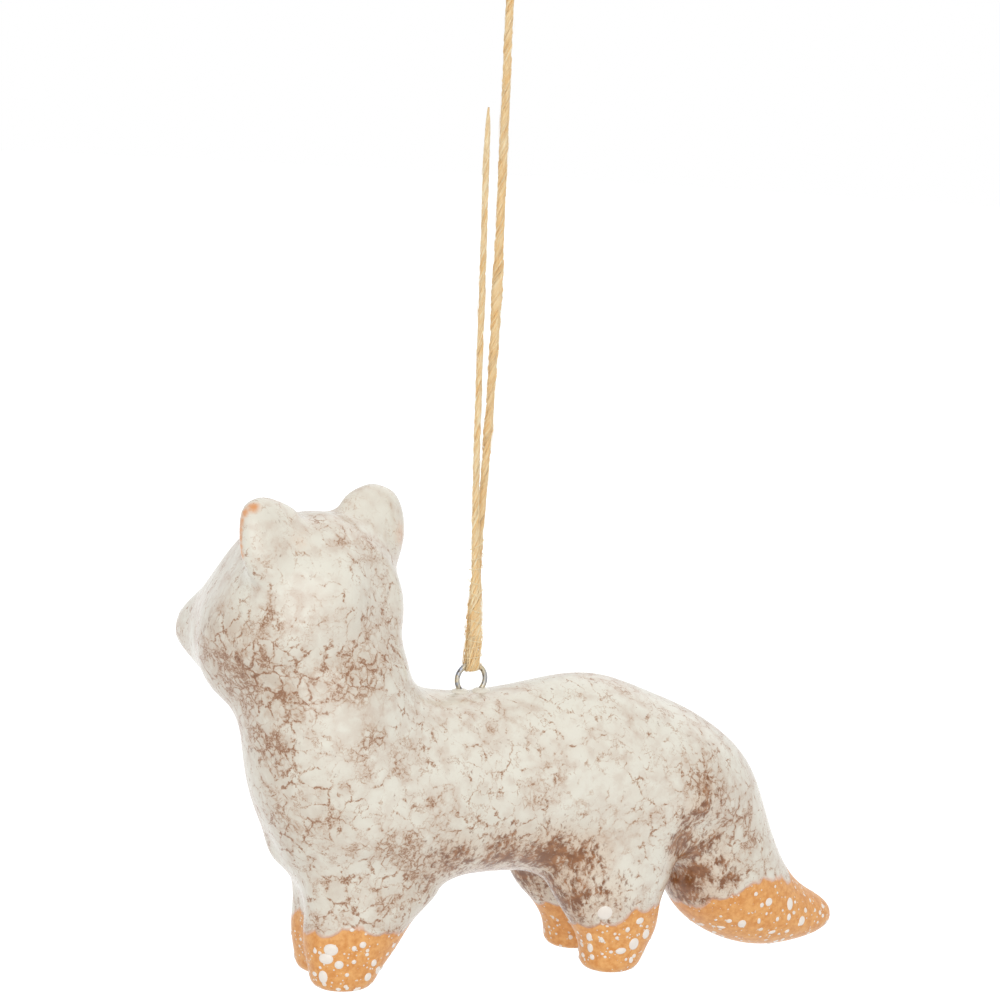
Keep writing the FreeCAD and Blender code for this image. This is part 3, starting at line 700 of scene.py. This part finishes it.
vein = sums(tree, "MULTIPLY", vein, ramp(tree, calm, 0.0, 1.0, 1.0, 0.2))
haze = sums(tree, "MULTIPLY", ramp(tree, wide_edge, 0.0, 1.1, 1.0, 0.0), ramp(tree, region, 0.36, 0.62))
cloud = ramp(tree, noise(0.5, 3.0), 0.46, 0.74, 0.0, 0.75)
haze = sums(tree, "ADD", sums(tree, "MULTIPLY", haze, 0.7), cloud, clamp=True)
cream = mixed(tree, haze, colour(235, 231, 217), colour(219, 206, 190))
# In the veined zones, under the chin, on the throat and chest and low on the body, the cream is darkened and
# greyed as painted shade.
shadowed = sums(tree, "MULTIPLY", veined_and_shaded, ramp(tree, noise(0.62, 3.0), 0.34, 0.60, 0.35, 0.95))
cream = mixed(tree, shadowed, cream, colour(205, 190, 172))
# The cream turns warmer and darker in the brown zones, partly painted shade.
cream = mixed(tree, ramp(tree, thin_glaze_and_shade, 0.1, 0.8, 0.0, 0.6), cream, colour(216, 188, 160))
vein_tone = mixed(tree, ramp(tree, vein, 0.42, 1.0), colour(198, 170, 145), colour(146, 98, 62))
cream = mixed(tree, ramp(tree, vein, 0.0, 0.75, 0.0, 0.95), cream, vein_tone)

# Where the glaze has run thin or pooled, brown shows between small cream specks drawn out downwards. Under
# the chin, under the belly and in the crease between hind leg and tail this brown is also painted shade.
streaks = node(tree, "Mapping", {"Vector": warped(spot, 0.9, 1.2), "Scale": (1.0, 1.0, 0.5)}).outputs[0]
speck = noise(2.1, 4.0, vector=streaks, roughness=0.6)
cover = sums(tree, "ADD", sums(tree, "ADD", thin_glaze_and_shade, swung(speck, 2.4)), swung(noise(0.45, 2.0), 1.5))
cover = ramp(tree, cover, 0.38, 1.02)
brown_tone = mixed(tree, ramp(tree, noise(0.9, 3.0), 0.35, 0.65), colour(162, 108, 64), colour(126, 77, 38))
cream = mixed(tree, cover, cream, brown_tone)
rub = sums(tree, "ADD", rubbed, sums(tree, "MULTIPLY", swung(noise(1.6, 3.0), 0.9), rubbed))
cream = mixed(tree, ramp(tree, rub, 0.08, 0.75), cream, colour(228, 158, 100))

# The bare clay is orange under fine white spatter.
fired = ramp(tree, noise(1.4, 5.0, roughness=0.65), 0.30, 0.70)
clay = mixed(tree, fired, colour(240, 178, 106), colour(216, 141, 64))
fine_dots = speckle(spot, 0.52, 0, 0.17, 0.04)
middle_dots = speckle(warped(spot, 1.0, 0.3), 1.15, 1, 0.36, 0.05)
dots = sums(tree, "MAXIMUM", sums(tree, "MULTIPLY", fine_dots, 0.9), middle_dots)
clay = mixed(tree, dots, clay, colour(246, 232, 216))

# The glaze ends in round lobes with a pink blush, a little above the clay.
flat_spot = node(tree, "Mapping", {"Vector": warped(spot, 0.5, 0.9), "Scale": (1.0, 1.0, 0.25)}).outputs[0]
lobe = sums(tree, "POWER", cells(flat_spot, 2.9, "F1")[1], 2.0)
lobe = sums(tree, "SUBTRACT", 0.55, sums(tree, "MULTIPLY", lobe, 0.32))
ripple = sums(tree, "ADD", swung(noise(0.22, 1.0), 1.6), swung(noise(1.6, 2.0), 0.35))
edge = sums(tree, "ADD", sums(tree, "ADD", above_edge, ripple), lobe)
glazed = ramp(tree, edge, -0.12, 0.14)
blush = sums(tree, "MULTIPLY", ramp(tree, edge, -0.3, 0.05), ramp(tree, edge, 0.05, 0.6, 1.0, 0.0))
surface = mixed(tree, glazed, clay, cream)
surface = mixed(tree, sums(tree, "MULTIPLY", blush, 0.6), surface, colour(232, 172, 138))
tree.links.new(surface, shader.inputs["Base Color"])
tree.links.new(ramp(tree, glazed, 0.0, 1.0, 0.45, 0.26), shader.inputs["Roughness"])
relief = sums(tree, "MULTIPLY", ramp(tree, edge, -0.25, 0.4), 0.2)
spatter = sums(tree, "MULTIPLY", dots, sums(tree, "SUBTRACT", 1.0, glazed))
relief = sums(tree, "ADD", relief, sums(tree, "MULTIPLY", spatter, 0.05))
relief = sums(tree, "ADD", relief, ramp(tree, wide_edge, 0.0, 0.9, 0.0, 0.03))
relief = sums(tree, "ADD", relief, sums(tree, "MULTIPLY", noise(0.45, 1.0), 0.05))
bump = node(tree, "Bump", {"Height": relief, "Strength": 0.8, "Distance": MM})
tree.links.new(bump.outputs[0], shader.inputs["Normal"])
shader.inputs["Coat Weight"].default_value = 0.2
shader.inputs["Coat Roughness"].default_value = 0.15
even.materials.append(glaze)
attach(fox, "fox")
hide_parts("fox_body")


# Glaze that spattered on the bare clay stands up in rounded white drops, and two small collars of it
# hold the wire where it goes into the back. The large drops are placed as the camera sees them: each row
# is across and down the picture, with half a width and half a height, in its pixels.
SMALL_DROPS = 260
BIG_DROPS = [
    (331, 950, 7.5, 6.5), (326, 959, 7.5, 6), (323, 977, 5, 7.5), (339, 965, 4.8, 4.8),
    (363, 945, 3.8, 3.8), (374, 963, 3.6, 4.6), (378, 970, 4, 6), (368, 977, 4.6, 5.4),
    (357, 989, 4.5, 2.4), (354, 962, 2.6, 2.6), (640, 921, 5, 4), (646, 934, 5, 6.5),
    (634, 944, 6, 7.5), (621, 951, 6, 4), (631, 960, 2.8, 4), (601, 939, 2.6, 2.6),
    (589, 937, 3.4, 6), (590, 948, 3.6, 6), (769, 902, 4.8, 4.8), (790, 904, 5, 7),
    (802, 921, 4.8, 5.5), (742, 924, 4.8, 5.8), (729, 921, 3.4, 3), (756, 894, 2.6, 2.6),
    (789, 917, 3, 4.2), (772, 932, 4.6, 2.4), (787, 931, 3.2, 2.4), (721, 927, 5, 2.2),
    (759, 921, 2, 4), (605, 913, 8, 8.5), (352, 930, 2.6, 2.2), (315, 951, 2.4, 3),
    (347, 975, 2.4, 2.4), (592, 957, 3, 3.4), (617, 938, 2.2, 2.2), (611, 952, 2.4, 2),
]
drop_shape = bmesh.new()
skin = bmesh.new()
skin.from_mesh(even)
tree_of_skin = BVHTree.FromBMesh(skin)
skin.free()


def add_drop(place, normal, across, wide, tall, height, rings=5, sides=8):
    """A low rounded drop on the skin."""
    sideways = (across - normal * across.dot(normal)).normalized()
    turned = Matrix((sideways, normal.cross(sideways), normal)).transposed().to_4x4()
    grown = Matrix.Diagonal((wide, tall, height, 1))
    sunk = Matrix.Translation(place - normal * height * 0.35)
    bmesh.ops.create_uvsphere(
        drop_shape, u_segments=sides, v_segments=rings, radius=1, matrix=sunk @ turned @ grown
    )


for x, y, half_width, half_height in BIG_DROPS:
    across, down = x - PICTURE_WIDTH / 2, y - PICTURE_WIDTH / 2
    ray = (rightward * across - upward * down - away * LENS_PIXELS).normalized()
    place, normal = tree_of_skin.ray_cast(camera_place, ray)[:2]
    if place:
        wide, tall = half_width / PIXELS_PER_MM * MM, half_height / PIXELS_PER_MM * MM
        add_drop(place, normal, rightward, wide, tall, 0.28 * MM, rings=8, sides=16)
chance = random.Random(4)
bare = np.flatnonzero(outside & (above < -1.2) & (places[:, 2] > -143.0))
for pick in chance.sample(list(bare), SMALL_DROPS):
    size = chance.uniform(0.10, 0.42) ** 1.6 * 1.6 * MM
    add_drop(
        Vector(places[pick]) * MM,
        Vector(normals[pick]),
        Vector((1, 0.3, 0.1)),
        size,
        size * chance.uniform(0.8, 1.3),
        min(size * 0.5, 0.2 * MM),
    )
for x in (-1.5, 1.5):
    add_drop(
        Vector((x, 0, -107.5)) * MM,
        Vector((0, 0, 1)),
        Vector((1, 0, 0)),
        1.35 * MM,
        1.0 * MM,
        0.62 * MM,
        rings=10,
        sides=20,
    )
drop_mesh = bpy.data.meshes.new("glaze_drops")
drop_shape.to_mesh(drop_mesh)
drop_shape.free()
drop_mesh.shade_smooth()
white_glaze, tree, shader, spot = new_material("drop_glaze")
tint = node(tree, "TexNoise", {"Vector": spot, "Scale": 1.4, "Detail": 2.0}).outputs["Fac"]
white = mixed(tree, tint, colour(248, 240, 229), colour(239, 229, 218))
height = node(tree, "SeparateXYZ", {0: spot}).outputs[2]
white = mixed(tree, ramp(tree, height, -118.0, -112.0), white, colour(232, 226, 212))
tree.links.new(white, shader.inputs["Base Color"])
shader.inputs["Roughness"].default_value = 0.2
shader.inputs["Coat Weight"].default_value = 0.3
shader.inputs["Coat Roughness"].default_value = 0.1
drop_mesh.materials.append(white_glaze)
drops = bpy.data.objects.new("glaze_drops", drop_mesh)
bpy.context.scene.collection.objects.link(drops)
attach(drops, "fox")


# The wire eye is one piece of bright drawn steel wire, bent into a ring and pushed into the soft clay.
# The kiln has given it a faint straw and blue tarnish.
bright_wire, tree, shader, spot = new_material("bright_wire")
tarnish = node(tree, "TexNoise", {"Vector": spot, "Scale": 0.9, "Detail": 2.0}).outputs["Fac"]
steel = mixed(tree, ramp(tree, tarnish, 0.40, 0.60), colour(196, 184, 158), colour(150, 156, 168))
soot = node(tree, "TexNoise", {"Vector": spot, "Scale": 1.6, "Detail": 3.0}).outputs["Fac"]
steel = mixed(tree, ramp(tree, soot, 0.50, 0.62, 0.0, 0.85), steel, colour(98, 88, 80))
tree.links.new(steel, shader.inputs["Base Color"])
drawn = node(tree, "TexNoise", {"Vector": spot, "Scale": 14.0, "Detail": 2.0}).outputs["Fac"]
tree.links.new(ramp(tree, drawn, 0.3, 0.7, 0.16, 0.30), shader.inputs["Roughness"])
shader.inputs["Metallic"].default_value = 1.0
for part_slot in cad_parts["hanging_eye"].material_slots:
    part_slot.material = bright_wire


# The fox hangs over a plain pale floor in soft light from a large window-like lamp on its left,
# with a weaker one behind, in a white room.
def seen_directly(tree):
    """1 for what the camera sees straight or in a reflection, and 0 for the soft light on the fox."""
    path = node(tree, "LightPath")
    seen = sums(tree, "MAXIMUM", path.outputs["Is Camera Ray"], path.outputs["Is Glossy Ray"])
    return sums(tree, "MAXIMUM", seen, path.outputs["Is Transmission Ray"])


floor_shape = bmesh.new()
bmesh.ops.create_circle(
    floor_shape, cap_ends=True, segments=96, radius=2.5, matrix=Matrix.Translation((0, 0, -0.30))
)
floor_mesh = bpy.data.meshes.new("floor")
floor_shape.to_mesh(floor_mesh)
floor_shape.free()
floor = bpy.data.objects.new("floor", floor_mesh)
bpy.context.scene.collection.objects.link(floor)
floor_paint, tree, shader, spot = new_material("floor_paint")
shader.inputs["Base Color"].default_value = (0.72, 0.72, 0.72, 1)
shader.inputs["Roughness"].default_value = 0.9
tree.links.new(sums(tree, "MULTIPLY", seen_directly(tree), 0.6), shader.inputs["Emission Strength"])
shader.inputs["Emission Color"].default_value = (1, 1, 1, 1)
floor_mesh.materials.append(floor_paint)

world = bpy.data.worlds.new("white_room")
world.use_nodes = True
tree = world.node_tree
backdrop = tree.nodes["Background"]
glow = ramp(tree, seen_directly(tree), 0.0, 1.0, 0.74, 1.0, smooth=False)
tree.links.new(glow, backdrop.inputs["Strength"])
backdrop.inputs["Color"].default_value = (1, 1, 1, 1)
bpy.context.scene.world = world


def add_lamp(name, place, size, watts):
    """A square soft lamp that faces the fox."""
    lamp = bpy.data.lights.new(name, "AREA")
    lamp.size = size
    lamp.energy = watts
    holder = bpy.data.objects.new(name, lamp)
    from_fox = Vector(place) - Vector((0, 0, -0.11))
    holder.matrix_world = Matrix.Translation(place) @ from_fox.to_track_quat("Z", "Y").to_matrix().to_4x4()
    bpy.context.scene.collection.objects.link(holder)


add_lamp("key", (-0.45, -1.0, 0.30), 1.1, 4.6)
add_lamp("back", (0.7, 0.5, 0.6), 1.0, 1.4)
